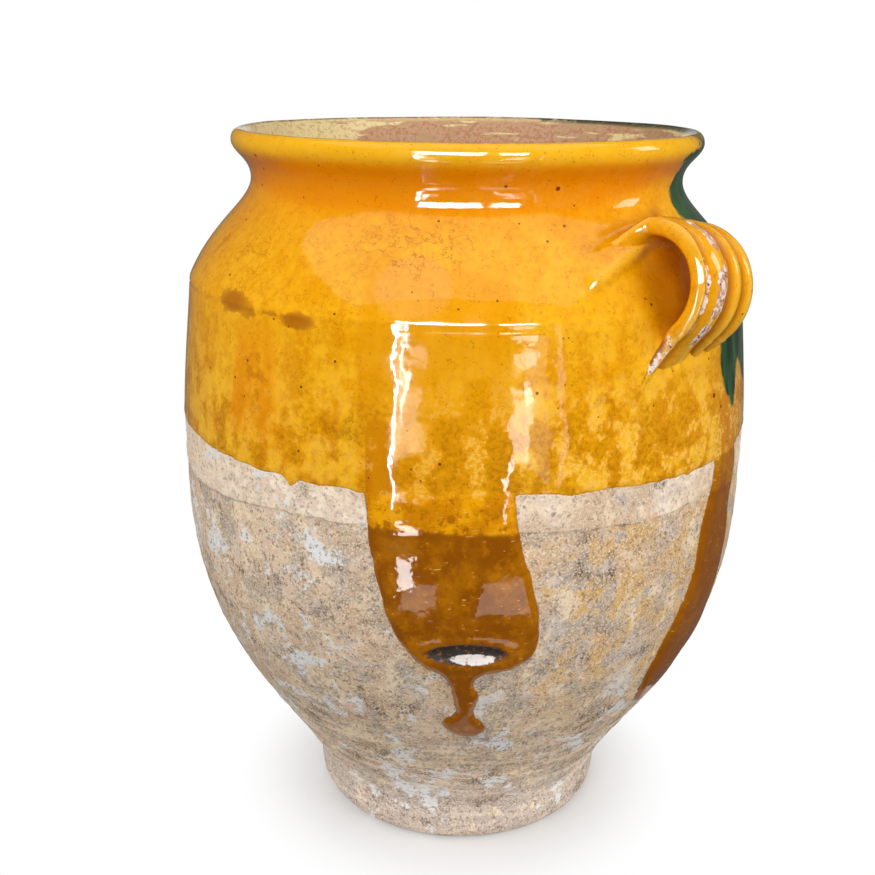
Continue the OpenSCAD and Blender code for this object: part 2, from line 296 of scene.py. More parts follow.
def depth_near(face, z, outline, faces, heights, outside=FAR_OUT):
    """Depth inside an outline on the wall, worked out only for the vertices near it."""
    near = (face > faces[0]) & (face < faces[1]) & (z > heights[0]) & (z < heights[1])
    depth = np.full(len(face), outside)
    depth[near] = depth_in(from_turn(np.stack([face[near], z[near]], 1)), outline)
    return depth


def oval_depth(face, z, at, half):
    """Depth inside a flat oval that is centred at [sideways, height]."""
    sideways = wall_r(z) * np.sin(np.radians(face))
    reach = np.hypot((sideways - at[0]) / half[0], (z - at[1]) / half[1])
    return np.where(np.abs(face) < FRONT_HALF, (1 - reach) * min(half), FAR_OUT)


# Clay drawn from the upper root of a handle along the wall, and from the near corner of its lower
# root: [sideways from the handle's middle, height]
UPPER_RIDGE = ((2, 284.2), (-3, 283.2), (-12.6, 280.6), (-19.8, 278), (-28.8, 275.2), (-37.7, 271.5),
               (-44, 270))
UPPER_CREASE = ((8, 290), (-1.2, 288.8), (-9, 287.6), (-17, 286.6), (-25.3, 285), (-34, 282.6), (-39, 281))
LOWER_TAIL = ((-19, 246), (-21.8, 242.6), (-24.6, 238.8), (-27, 235), (-29, 230.5))
LOWER_CREASE = ((-26, 233), (-14, 234.8), (0, 235.6), (14, 236.4), (20, 240))


def root_relief(side, z):
    """Height of the smeared clay round a handle's roots, and the masks of its creases, crest and hollow, with
    painted shade in the creases, the hollow and the band above the upper crease, and a pale crest and tail
    line that are partly painted highlight.
    """
    at = np.stack([side, z], 1)
    gap, place = way_from(at, UPPER_RIDGE)
    ridge_z = np.interp(-side, [-p[0] for p in UPPER_RIDGE], [p[1] for p in UPPER_RIDGE])
    above = z - ridge_z
    slope = np.where(above > 0, hump(above - 0.8, 6.5), hump(above, 1.9))
    fade = smooth(side, -46, -40) * smooth(-side, -14, -2)
    height = 4.2 * slope * fade * (1 - 0.5 * place)
    crease, crease_place = way_from(at, UPPER_CREASE)
    height -= 1.2 * hump(crease, 1.7) * (1 - 0.7 * crease_place)
    tail, tail_place = way_from(at, LOWER_TAIL)
    height += 1.8 * hump(tail, 2.0) * (1 - 0.8 * tail_place)
    foot = way_from(at, LOWER_CREASE)[0]
    height += 0.5 * hump(foot, 4.0)
    # Painted shade: dark lines in the upper crease, at the hooked end of the smeared clay and along the lower
    # tail
    dark = 0.6 * hump(crease, 1.0) * (1 - 0.7 * crease_place)
    dark = np.maximum(dark, 0.5 * hump(gap - 0.9, 0.5) * (side < -41.5) * (above < 0.5))
    dark = np.maximum(dark, 0.7 * hump(tail - 0.9, 0.6) * (1 - 0.3 * tail_place))
    reach = np.hypot((side + 2) / 27, (z - 263) / 19)
    # The crest of the smeared clay is pale, thin glaze and also a painted highlight
    return {"height": height, "crease": dark, "crest_and_highlight": hump(above - 0.6, 1.6) * fade * (1 - 0.3 * place),
            # The hollow under the loop, which the strap shades, gets painted shade
            "hole": smooth(reach, 1.1, 0.55) * (above < -0.5),
            # The band along the upper crease is painted shade, with glaze gathered in the crease
            "groove": 0.7 * hump(crease - 0.5, 3.2) * (1 - 0.8 * crease_place),
            # The tail's line of wear is also a painted highlight
            "worn": np.where(tail_place < 0.96, 0.4 - tail, NOT_WORN)}


def wall_masks(face, z, sunk):
    """What lies where on the outer wall, as depths in millimetres or as shares from 0 to 1."""
    sideways = wall_r(z) * np.sin(np.radians(face))
    ring = np.stack([np.cos(np.radians(face)), np.sin(np.radians(face)), 0 * z], 1) * BELLY_R
    edge_z = np.interp(face, *np.array(COAT_EDGE).T) + (0.35 * waves(ring, 22, 5) + 0.22 * waves(ring, 7, 6))
    for at, half, long in DRIPS:
        edge_z -= long * np.clip(1 - np.abs(face - at) / half, 0, 1) ** 1.2
    slip_z = np.interp(face, *np.array(SLIP_EDGE).T) + 0.4 * waves(ring, 15, 7) + 0.25 * waves(ring, 5, 8)
    coat = z - edge_z
    front = depth_near(face, z, rounded(from_chord(FRONT_RUN), 4), (-32, 27), (74, 215))
    second = depth_near(face, z, rounded(from_turn(SIDE_RUN), 4), (32, 76), (66, 215))
    run = np.maximum(front, second) + 0.25 * waves(np.stack([face * DEGREE_MM, z, 0 * z], 1), 9, 9)
    green = depth_near(face, z, rounded(from_turn(GREEN_SPLASH), 4), (45, 170), (196, 331), -30.0)
    curtain = within(face, -20.5, -18, 5.5, 9.5) * smooth(z, 283, 268)
    # A rounded patch high on the shoulder is a painted reflection of a window, pale peach where the orange
    # curtain is left out
    bell = smooth(np.hypot((face + 10.5) / 7.5, (z - 270) / 11), 1.05, 0.8) * smooth(z, 258, 261)
    band_top = 228 - 0.12 * (sideways + 34) ** 2
    band = within(sideways, -39.5, -37, -30, -25) * smooth(z, band_top + 3, band_top - 12)
    # The neck under the lip is painted darker orange, partly as painted shade
    neck_from = np.interp(face, (-70, -40, 0, 30, 52, 80), (296, 292.5, 292, 294, 302, 304))
    neck = np.maximum(within(z, neck_from - 2.5, neck_from + 4, 308, 314),
                      0.3 * within(z, neck_from - 12, neck_from, 308, 314))
    return {"coat": coat, "run": run, "glaze": np.maximum(coat, run), "slip": z - slip_z, "green": green,
            "scar": oval_depth(face, z, SCAR_AT, SCAR_HALF), "chip": oval_depth(face, z, CHIP_AT, CHIP_HALF),
            "warm": np.clip(0.8 * curtain - 0.9 * bell, 0, 1), "bell": bell,
            "side_stain": within(face, 50.5, 54.5, 64, 72) * smooth(z, 246, 222),
            "stain": ovals(face, z, STAINS, 1.25, 0.45), "marks": ovals(face, z, MARKS, 1.1, 0.8),
            "streak": 0.6 * within(face, -49, -46, -37, -33) * within(z, 203, 212, 250, 256),
            "ochre": 0.25 + 0.75 * within(face, -30, 25, 90, 150) * smooth(z, 70, 130),
            # The far share darkens the run on the far side as painted shade
            "band": band * (np.abs(face) < FRONT_HALF), "neck": neck, "far": within(face, 30, 40, 75, 90),
            "pink": smooth(np.abs((face - PINK_AT + 180) % 360 - 180), 75, 45),
            "inner": sunk, "worn": np.full(len(z), NOT_WORN), "groove": 0 * z}


def wall_relief(points, face, z, masks):
    """How far the real surface stands out from the plain turned wall, in millimetres."""
    coat, run, slip = masks["coat"], masks["run"], masks["slip"]
    bare = smooth(masks["glaze"], 0.3, -0.6)
    soft = -0.25 + 0.11 * waves(points, 70, 11) + 0.035 * waves(points, 24, 12)
    thin = np.clip((SHOULDER_Z - z) / (SHOULDER_Z - COAT_Z), 0, 1)
    soft += 0.1 * waves(points, 19, 17) * smooth(np.abs(face + 3), 22, 14) * smooth(z, 256, 240)
    coat_h = GLAZE_T * smooth(coat, -0.2, 1.7) * thin + 0.16 * hump(coat - 1.7, 1.4) * (coat > -1)
    lobe_h = 1.3 * smooth(run, -0.2, 2.4) * smooth(coat, 22, -30)
    lobe_h += 0.6 * smooth(run, 0, 1.2) * smooth(coat, 4, -4)
    relief = soft + np.maximum(coat_h, lobe_h)
    relief += 0.28 * smooth(slip, -0.5, 0.8) * smooth(coat, 1, -0.5)
    relief -= 1.5 * smooth(masks["scar"], -0.6, 1.6) - 0.45 * hump(masks["scar"] + 1.0, 1.2)
    relief += 0.5 * smooth(masks["chip"], -0.5, 0.8)
    line_z = 256.5 + 1.1 * np.sin(np.radians(face))
    relief -= 0.5 * hump(z - line_z, 0.8)
    rings = 0.5 * np.sin(z * 0.88 + 0.35 * np.sin(np.radians(face))) + 0.5 * np.sin(z * 0.47 + 1.3)
    relief += (0.012 + 0.16 * smooth(z, 80, 30)) * rings
    relief += bare * (0.10 * waves(points, 9, 13) + 0.09 * waves(points, 4.5, 14))
    low = smooth(z, 85, 30) * bare
    flat = points * np.array([0.22, 0.22, 1.0])
    relief += low * (0.22 * waves(flat, 6, 15) - 0.1)
    for at, radius, depth in CHIPS:
        away = np.hypot(wall_r(z) * np.radians(face - at[0]), z - at[1])
        relief -= depth * smooth(away, radius, 0.5 * radius)
    return relief


def graded(length, spacing_at):
    """Places along a length, whose gaps follow spacing_at."""
    fine = np.linspace(0, length, 8000)
    middle = (fine[1:] + fine[:-1]) / 2
    count = np.concatenate([[0], np.cumsum(np.diff(fine) / spacing_at(middle))])
    return np.interp(np.linspace(0, count[-1], int(round(count[-1])) + 1), count, fine)


def body_rows():
    """Rows of the body's grid: radius, height, normal, distance from the crest, and outside or inside."""
    way = lengths_along(whole_line)
    z = whole_line[:, 1]
    crest = way[np.argmax(z)]
    foot_start = np.argmax(whole_line[:, 0] > FOOT_R - FOOT_ROUND - 0.1)
    gap = np.full(len(way), OTHER_GAP)
    for low, high, close in ROW_GAPS:
        gap[(z >= low) & (z < high)] = close
    gap[:foot_start] = HIDDEN_GAP
    gap[way > crest + THROAT_SEEN] = HIDDEN_GAP
    places = graded(way[-1], lambda at: np.interp(at, way, gap))
    radius, height = (np.interp(places, way, line) for line in whole_line.T)
    normal = np.stack([np.interp(places, way, line) for line in right_of(whole_line).T], 1)
    normal /= np.hypot(normal[:, 0], normal[:, 1])[:, None]
    outside = (places > way[foot_start]) & (places < crest + 3)
    return radius, height, normal, places - crest, outside


def body_columns():
    """Columns of the body's grid, in degrees from the pictured middle, closer round the runs."""
    def gap(at):
        return np.where((at - 180 > CLOSE_FROM) & (at - 180 < CLOSE_TO), CLOSE_GAP, WIDE_GAP)
    return graded(360, gap)[:-1] - 180


def placed(name, data):
    """A new object with this data, in the scene."""
    thing = bpy.data.objects.new(name, data)
    bpy.context.scene.collection.objects.link(thing)
    return thing


def solid_mesh(name, points, ends, faces, masks):
    """A smooth mesh in metres from a grid and a vertex for each of its ends, with the masks on it."""
    mesh = bpy.data.meshes.new(name)
    mesh.from_pydata((np.concatenate([points, ends]) * MM).tolist(), [], faces)
    mesh.shade_smooth()
    for key, values in masks.items():
        values = np.concatenate([values, values[[0, -1]]]).astype(np.float32)
        mesh.attributes.new(key, "FLOAT", "POINT").data.foreach_set("value", values)
    return placed(name, mesh)


def grid_faces(rows, columns):
    """Faces of a grid closed round its columns, with a fan at each end to the two last vertices."""
    quads = []
    for i in range(rows - 1):
        a, b = i * columns, (i + 1) * columns
        quads += [(a + j, a + (j + 1) % columns, b + (j + 1) % columns, b + j) for j in range(columns)]
    first, last = rows * columns, rows * columns + 1
    top = (rows - 1) * columns
    quads += [(first, (j + 1) % columns, j) for j in range(columns)]
    quads += [(top + j, top + (j + 1) % columns, last) for j in range(columns)]
    return quads


def pot_body():
    """The body without its handles, with its relief, from the grid of rows and columns."""
    radius, height, normal, from_crest, outside = body_rows()
    columns = body_columns()
    turn = np.radians(columns + PICTURED)
    across = np.stack([np.sin(turn), -np.cos(turn), 0 * turn], 1)
    points = (radius[:, None, None] * across + height[:, None, None] * UP).reshape(-1, 3)
    outward = (normal[:, 0, None, None] * across + normal[:, 1, None, None] * UP).reshape(-1, 3)
    face = np.tile(columns, len(radius))
    z, from_crest, outside = (np.repeat(values, len(columns)) for values in (height, from_crest, outside))
    masks = wall_masks(face, z, from_crest)
    relief = wall_relief(points, face, z, masks)
    side = np.where(points[:, 0] > 0, points[:, 1], -points[:, 1])
    near_root = outside & (np.abs(points[:, 0]) > 70) & (z > 222) & (z < 296) & (np.abs(side) < 60)
    shares = root_relief(side[near_root], z[near_root])
    relief[near_root] += shares.pop("height")
    for key, values in shares.items():
        masks.setdefault(key, np.zeros(len(z)))[near_root] = values
    inside = smooth(from_crest, -2, 4)
    relief = relief * (1 - inside) * smooth(z, 0.5, 4.0) + (0.25 * waves(points, 30, 21) - 0.1) * inside
    ends = [[0, 0, 0.0], [0, 0, FLOOR_T]]
    faces = grid_faces(len(radius), len(columns))
    return solid_mesh("pot_body", points + outward * relief[:, None], ends, faces, masks)


def strap_section(count=112):
    """Closed section of the strap, [outwards from its middle, sideways], with its four ribs."""
    outer = []
    for i, steps in enumerate(((0.4, 0.8), (0.15, 0.4, 0.6, 0.8), (0.15, 0.4, 0.6, 0.8), (0.2, 0.5, 0.8))):
        for u in steps:
            out = STRAP_T * (0.5 - RIB_LOW[i]) - GROOVE * (2 * u - 1) ** 2
            outer.append((out, STRAP_W * (RIB_AT[i] + (RIB_AT[i + 1] - RIB_AT[i]) * u)))
        if i < 3:
            valley = STRAP_T * (0.5 - max(RIB_LOW[i], RIB_LOW[i + 1])) - GROOVE
            outer.append((valley, STRAP_W * RIB_AT[i + 1]))
    edge = STRAP_W / 2
    low = -STRAP_T / 2
    near = [(low + 0.5, 1.7 * STRAP_EDGE - edge), (low + 1.8, 0.3 - edge), (0.3, -edge)]
    far = [(0.3, edge), (low + 1.8, edge - 0.3), (low + 0.5, edge - 1.7 * STRAP_EDGE)]
    under = [(low, y) for y in (12.0, 4.0, -4.0, -12.0)]
    line = rounded(near + outer + far + under, 8)
    line = np.concatenate([line, line[:1]])
    way = lengths_along(line)
    at = np.linspace(0, way[-1], count + 1)[:-1]
    return np.stack([np.interp(at, way, line[:, 0]), np.interp(at, way, line[:, 1])], 1)


def loop_point(angle, out, side):
    """Place on the strap: angle round the loop, outwards from its middle line, and sideways."""
    r = LOOP_R + out
    up = r * np.sin(angle)
    lean_c, lean_s = math.cos(HANDLE_LEAN), math.sin(HANDLE_LEAN)
    return np.stack([LOOP_X + r * np.cos(angle), side * lean_c + up * lean_s,
                     LOOP_Z - side * lean_s + up * lean_c], -1)


def on_wall(side, z, out):
    """Place on the outer wall at the +X handle, and the direction outwards from the wall there."""
    r = wall_r(z)
    turn = np.arcsin(side / r)
    lean = (wall_r(z - 1.5) - wall_r(z + 1.5)) / 3
    flat = np.stack([np.cos(turn), np.sin(turn), 0 * z], -1)
    outward = flat + lean[..., None] * UP
    outward /= np.linalg.norm(outward, axis=-1)[..., None]
    place = flat * r[..., None] + UP * z[..., None]
    return place + outward * out, outward


def eased(start, start_way, end, end_way, steps):
    """Curves from start to end, with the given directions at both."""
    t = np.linspace(0, 1, steps + 1)[1:, None, None]
    return ((2 * t ** 3 - 3 * t ** 2 + 1) * start + (t ** 3 - 2 * t ** 2 + t) * start_way
            + (3 * t ** 2 - 2 * t ** 3) * end + (t ** 3 - t ** 2) * end_way)


def root_curves(section, angle, heading, side, z, flare, steps=16):
    """Rings from the loop's end down to the wall, spread where they meet it."""
    out, across = section.T
    start = loop_point(np.full(len(section), angle), out, across)
    ahead = loop_point(np.full(len(section), angle + heading * 0.01), out, across)
    start_way = (ahead - start) / np.linalg.norm(ahead - start, axis=1)[:, None] * 10
    end, outward = on_wall(side, z, -ROOT_SUNK)
    middle = end.mean(0)
    end_way = end - middle
    end_way -= (end_way * outward).sum(1)[:, None] * outward
    end_way /= np.maximum(np.linalg.norm(end_way, axis=1), 1e-6)[:, None]
    return eased(start, start_way, end, end_way * flare[:, None] - outward * 2.0, steps)


def handle(name, turned):
    """One strap handle: the loop, its rubbed ribs and its roots, with the wear, partly painted highlight, and
    painted shade in its creases, grooves and underside as masks.
    """
    section = strap_section()
    out, across = section.T
    thick = (out + STRAP_T / 2) / STRAP_T
    free = np.linspace(LOOP_FROM, LOOP_TO, 120)
    worn_flat = 1 - 0.35 * hump(free - math.radians(10), 0.9)
    rings = []
    for angle, keep in zip(free, worn_flat):
        swell = np.where(out > 0, 0.25 * np.sin(3 * angle + across / 9), 0)
        rings.append(loop_point(np.full(len(section), angle), out + swell * keep - 0.15, across))
    corner = smooth(-across, 7, STRAP_W / 2)
    near = corner * smooth(thick, 0.1, 0.6)
    upper_side = across * 1.05 - 8.0 * corner - 6.0 * near + 1.6
    upper_z = UPPER_ROOT_Z + 8.0 * thick + 0.03 * across - 2.8 * corner - 0.6 * near
    upper = root_curves(section, LOOP_TO, 1, upper_side, upper_z, 3.0 + 6.0 * near + 2 * (1 - thick))
    lower_side = across * 0.98 - 9.0 * near - 1.0
    lower_z = LOWER_ROOT_Z - 12.5 * thick + 0.04 * across - 5.0 * near
    lower = root_curves(section, LOOP_FROM, -1, lower_side, lower_z, 4.0 + 3.0 * thick)
    grid = np.concatenate([lower[::-1], np.array(rings), upper])
    place = np.concatenate([np.linspace(-1, 0, len(lower) + 1)[:-1], np.zeros(len(free)),
                            np.linspace(0, 1, len(upper) + 1)[1:]])
    angle = np.concatenate([np.linspace(LOOP_FROM - 0.5, LOOP_FROM, len(lower) + 1)[:-1], free,
                            np.linspace(LOOP_TO, LOOP_TO + 0.5, len(upper) + 1)[1:]])
    rows, columns = grid.shape[:2]
    points = grid.reshape(-1, 3)
    outs, sides = np.tile(out, rows), np.tile(across, rows)
    degrees, places = np.repeat(np.degrees(angle), columns), np.repeat(place, columns)
    worn = np.full(len(points), NOT_WORN)
    for at, side, half_long, half_wide in HANDLE_WEAR_AND_GLINT:
        reach = np.hypot((degrees - at) / half_long, (sides - side) / half_wide)
        worn = np.maximum(worn, np.where(outs > 1.5, (1 - reach) * half_wide, NOT_WORN))
    # A pale line along the near edge of the lower root, glaze wear that is also a painted highlight
    from_edge = sides + STRAP_W / 2
    flake_and_glint = np.where(np.abs(outs - 0.4) < 2.6, 0.35 - np.abs(from_edge - 0.9), NOT_WORN)
    worn = np.maximum(worn, np.where(places < -0.1, flake_and_glint, NOT_WORN))
    # Painted shade: dark lines along the near edge's crack at the lower root, and where the upper root meets
    # the wall
    edges = (hump(from_edge, 0.5) + hump(from_edge - 1.9, 0.6)) * (outs > -2.0)
    crease = np.maximum(0.7 * smooth(places, 0.0, -0.4) * edges,
                        0.6 * smooth(places, 0.7, 0.95) * smooth(outs, 1.0, 2.5))
    # Painted shade on the strap's underside, and in the grooves between the ribs, where glaze also gathers
    groove = 0.5 * smooth(outs, -1.5, -3.4) * smooth(degrees, 75, 30)
    for edge in RIB_AT[1:4]:
        groove = np.maximum(groove, hump(sides - STRAP_W * edge, 1.8) * (outs > 0))
    # The crests of the ribs are pale, thin glaze and also a painted highlight
    crest_and_highlight = np.zeros(len(points))
    for edge, next_edge in zip(RIB_AT[:-1], RIB_AT[1:]):
        crest_and_highlight = np.maximum(crest_and_highlight, hump(sides - STRAP_W * (edge + next_edge) / 2, 1.6) * (outs > 0))
    if turned:
        points = points * np.array([-1.0, -1.0, 1.0])
    masks = {"crease": crease, "worn": worn, "groove": groove, "crest_and_highlight": crest_and_highlight}
    for value, keys in HANDLE_PLAIN:
        masks.update({key: np.full(len(points), value) for key in keys.split()})
    ends = [points[:columns].mean(0), points[-columns:].mean(0)]
    return solid_mesh(name, points, ends, [face[::-1] for face in grid_faces(rows, columns)], masks)


def shade(red, green, blue):
    """A colour written as 0 to 255, as the shader's linear colour."""
    return tuple((c / 255 / 12.92) if c <= 10 else ((c / 255 + 0.055) / 1.055) ** 2.4
                 for c in (red, green, blue)) + (1.0,)


# Colours of the glaze
GOLD, PALE_GOLD, DEEP_GOLD = shade(240, 166, 2), shade(248, 188, 34), shade(222, 138, 0)
ORANGE, STAIN, OLIVE = shade(238, 146, 0), shade(170, 92, 4), shade(184, 118, 4)
# The peach is a painted reflection on the shoulder
NECK_ORANGE, CURTAIN, REFLECTED_PEACH = shade(226, 134, 0), shade(234, 156, 0), shade(240, 160, 72)
AMBER, AMBER_DARK, AMBER_SLIP = shade(170, 102, 0), shade(142, 78, 0), shade(210, 132, 0)
GREEN, GREEN_DARK, GREEN_GREY = shade(34, 88, 40), shade(10, 34, 14), shade(70, 100, 62)
# The brown of the rib grooves is gathered glaze and painted shade, and under the loops it is painted shade
SPECK, COAT_RIM, POOL_AND_SHADE_BROWN = shade(96, 36, 0), shade(156, 100, 16), shade(166, 84, 0)
# The pale gold of the crests is thin glaze and also a painted highlight
CREST_GOLD_AND_HIGHLIGHT, BAND, PALE_CREAM = shade(252, 198, 66), shade(192, 108, 4), shade(250, 196, 84)
CREAM, CREAM_DARK, MAUVE = shade(228, 204, 148), shade(176, 142, 98), shade(172, 118, 88)
# The pale flecks are partly dust and scratches and partly painted glints
MAUVE_PALE, CREST_BROWN, FLECK_AND_GLINT = shade(198, 152, 118), shade(122, 70, 24), shade(236, 184, 104)
# Colours of the clay
CLAY, TAN, GREY = shade(220, 200, 176), shade(200, 168, 136), shade(174, 156, 136)
OCHRE, PINK, LIME = shade(212, 168, 102), shade(226, 172, 140), shade(228, 230, 232)
BROWN, SOOT, GRAIN = shade(132, 106, 84), shade(78, 64, 52), shade(242, 220, 188)
SLIP, SLIP_GREY, SLIP_TAN = shade(254, 236, 212), shade(236, 212, 190), shade(214, 182, 150)
ROSE, ASH = shade(226, 198, 178), shade(188, 178, 166)
BODY_WHITE, BURNT, FOOT_GREY = shade(240, 232, 224), shade(34, 24, 18), shade(186, 176, 174)
# The white of the flakes is glaze wear, and along the handles' near edges and the root tails also a painted
# highlight; the crack brown is also painted shade in the root creases
WHITE_FLAKE_AND_GLINT, FLAKE_PINK, CRACK_AND_SHADE = shade(240, 220, 206), shade(198, 140, 104), shade(112, 44, 14)
# Roughness of the glaze from its smoothest to its dullest, of the inside, and of bare clay
GLAZE_ROUGH, INSIDE_ROUGH, CLAY_ROUGH = (0.04, 0.1), 0.22, 0.86


class Graph:
    """Short calls for a shader's nodes. An input is a socket, a value, or the name of a field or mask."""

    def __init__(self, owner):
        owner.use_nodes = True
        self.tree = owner.node_tree
        self.tree.nodes.clear()
        self.named = {}

    def socket(self, name):
        """The field kept under this name, or else the mask of this name on the vertices."""
        if name not in self.named:
            self.named[name] = self.node("ShaderNodeAttribute", {}, attribute_name=name).outputs["Fac"]
        return self.named[name]

    def node(self, kind, inputs, **settings):
        node = self.tree.nodes.new(kind)
        for key, value in settings.items():
            setattr(node, key, value)
        for key, value in inputs.items():
            if isinstance(value, str):
                value = self.socket(value)
            if isinstance(value, bpy.types.NodeSocket):
                self.tree.links.new(value, node.inputs[key])
            else:
                node.inputs[key].default_value = value
        return node

    def math(self, operation, a, b=0.0):
        return self.node("ShaderNodeMath", {0: a, 1: b}, operation=operation).outputs[0]

    def ramp(self, value, low, high, start=0.0, end=1.0):
        inputs = {"Value": value, "From Min": low, "From Max": high, "To Min": start, "To Max": end}
        return self.node("ShaderNodeMapRange", inputs, interpolation_type="SMOOTHSTEP").outputs[0]

    def vector(self, operation, a, b=(0, 0, 0), output=0):
        return self.node("ShaderNodeVectorMath", {0: a, 1: b}, operation=operation).outputs[output]

    def stretch(self, place, x, y, z):
        return self.vector("MULTIPLY", place, (x, y, z))

    def noise(self, place, size, detail=2.0, rough=0.5, bend=0.0):
        inputs = {"Vector": place, "Scale": 1 / size, "Detail": detail, "Roughness": rough, "Distortion": bend}
        return self.node("ShaderNodeTexNoise", inputs).outputs[0]

    def specks(self, place, size, small, large):
        """1 inside round specks, one to a cell, whose radius runs from small to large."""
        cells = self.node("ShaderNodeTexVoronoi", {"Vector": place, "Scale": 1 / size})
        pick = self.node("ShaderNodeSeparateColor", {0: cells.outputs["Color"]}).outputs[0]
        radius = self.ramp(pick, 0.3, 1.0, small / size, large / size)
        edge = self.math("SUBTRACT", radius, cells.outputs["Distance"])
        return self.ramp(edge, 0.0, 0.3 * small / size)

    def mix(self, amount, a, b):
        return self.node("ShaderNodeMix", {0: amount, 6: a, 7: b}, data_type="RGBA").outputs[2]

    def blend(self, amount, a, b):
        return self.node("ShaderNodeMix", {0: amount, 2: a, 3: b}, data_type="FLOAT").outputs[0]

    def product(self, *values):
        total = values[0]
        for value in values[1:]:
            total = self.math("MULTIPLY", total, value)
        return total

    def either(self, *values):
        total = values[0]
        for value in values[1:]:
            total = self.math("MAXIMUM", total, value)
        return total

    def apart(self, a, b):
        return self.math("ABSOLUTE", self.math("SUBTRACT", a, b))

    def wander(self, value, noise, amount):
        """A value that a noise moves up and down by amount."""
        return self.math("ADD", value, self.math("MULTIPLY", self.math("SUBTRACT", noise, 0.5), 2 * amount))

    def ragged(self, depth, noise, amount, soft):
        """A depth turned into a mask whose edge wanders by amount and is soft wide, in millimetres."""
        return self.ramp(self.wander(depth, noise, amount), -soft / 2, soft / 2)

    def layered(self, colour, *layers):
        """A colour with others laid over it in turn, each as strongly as the product of its shares says."""
        for other, *shares in layers:
            colour = self.mix(self.product(*shares), colour, other)
        return colour


def mottle(g):
    """Names the random fields that the colours share, from broad patches to single grains."""
    g.named.update({
        "patch": g.noise("mm", 34, 2),
        "cloud": g.noise("mm", 13, 4, 0.62),
        "mid": g.noise("mm", 4.6, 3, 0.62),
        "fine": g.noise("mm", 1.9, 2, 0.65),
        "grain": g.noise("mm", 0.8, 0),
        "flow": g.noise(g.stretch("mm", 1, 1, 0.14), 7, 2),
        "rings": g.noise(g.stretch("mm", 0.13, 0.13, 1), 4.2, 3, 0.6)})


def glaze_colour(g, specks):
    """Yellow glaze over slip: patchy gold, vertical flow, orange curtains, stains, crazing and pinholes, with
    a painted reflection on the shoulder, painted shade under the handles' loops and in their grooves, partly
    painted shade round the neck, and pale crests that are partly a painted highlight.
    """
    lively = g.ramp("height", 268, 225, 0.3, 1.0)
    low = g.ramp("height", 250, 205, 0.1, 1.0)
    cloudy = g.product(low, g.ramp("cloud", 0.55, 0.38))
    return g.layered(
        GOLD,
        (PALE_GOLD, g.ramp("patch", 0.38, 0.64), g.ramp(lively, 0.3, 1.0, 0.5, 0.9)),
        (DEEP_GOLD, g.ramp("flow", 0.44, 0.64), lively, 0.6),
        (PALE_GOLD, g.ramp("cloud", 0.5, 0.62), lively, 0.8),
        (DEEP_GOLD, g.ramp("fine", 0.42, 0.6), g.ramp("mid", 0.4, 0.56), 0.5),
        (PALE_GOLD, g.ramp("mid", 0.47, 0.4), g.ramp("fine", 0.5, 0.4), 0.5),
        (CURTAIN, "warm", g.ramp("flow", 0.25, 0.6, 0.7, 1.0)),
        (OLIVE, cloudy, 0.45),
        (OLIVE, cloudy, g.ramp("fine", 0.46, 0.6), 0.7),
        (ORANGE, "streak", g.ramp("flow", 0.3, 0.6, 0.5, 1.0)),
        (g.mix(g.ramp("flow", 0.4, 0.6), AMBER_SLIP, BAND),
         g.ramp(g.math("ADD", "band", g.product("cloud", 0.6)), 0.6, 0.95), 0.9),
        # Painted reflection of a window on the shoulder
        (REFLECTED_PEACH, "bell", 0.5),
        # Painted shade in the hollow under each handle's loop
        (POOL_AND_SHADE_BROWN, "hole", 0.6),
        # Gathered glaze and painted shade in the grooves, round the upper crease and under the strap
        (POOL_AND_SHADE_BROWN, "groove", 0.9),
        # Pale crests, thin glaze and also a painted highlight
        (CREST_GOLD_AND_HIGHLIGHT, "crest_and_highlight", g.ramp("mid", 0.35, 0.55, 0.4, 0.9)),
        (DEEP_GOLD, g.ramp("height", 256, 268), 0.16),
        (PALE_GOLD, g.ramp("height", 307, 313, 0.0, 0.6)),
        # Darker orange round the neck, partly painted shade under the lip
        (NECK_ORANGE, "neck", 0.9),
        (AMBER_SLIP, "side_stain", g.ramp("flow", 0.3, 0.6, 0.6, 0.95)),
        (STAIN, "stain", g.ramp(g.wander("stain", "mid", 0.8), 0.25, 0.45), 1.15),
        (STAIN, "marks", g.ramp(g.apart("cloud", 0.5), 0.011, 0.004), 0.6),
        (STAIN, g.ramp("grain", 0.66, 0.74), g.ramp("mid", 0.46, 0.6), 0.5),
        (PALE_CREAM, g.ramp("fine", 0.42, 0.56), g.ramp("cloud", 0.46, 0.54), low,
         g.ramp("ochre", 0.2, 1.0, 0.3, 0.85)),
        (SPECK, specks, 0.9))


def amber_colour(g, over_slip):
    """Glaze run over bare clay: clear brown, orange where it lies over slip, with grains showing through that
    are partly painted glints, and painted shade on the far side.
    """
    slipped = g.layered(g.mix(g.ramp("cloud", 0.42, 0.62), AMBER_SLIP, GOLD),
                        (STAIN, g.ramp("mid", 0.5, 0.4), g.ramp("slip", 14, 4), 0.8))
    flecks = g.noise(g.stretch("mm", 0.7, 0.7, 3.6), 2.4, 2)
    return g.layered(
        AMBER_DARK,
        (AMBER, g.ramp("cloud", 0.4, 0.62), g.ramp("height", 104, 124, 0.2, 1.0)),
        (AMBER_SLIP, g.ramp("mid", 0.52, 0.66), 0.3),
        (slipped, over_slip),
        (AMBER_DARK, g.ramp(g.math("ABSOLUTE", g.math("ADD", "slip", 1.6)), 2.6, 0.8), 0.6),
        (AMBER_DARK, g.ramp("fine", 0.44, 0.3), 0.5),
        # Painted shade: the run darker on the far side
        (AMBER_DARK, "far", 0.65),
        # Pale flecks, partly painted glints
        (FLECK_AND_GLINT, g.ramp(flecks, 0.66, 0.7), g.ramp("mid", 0.5, 0.58), 0.75))


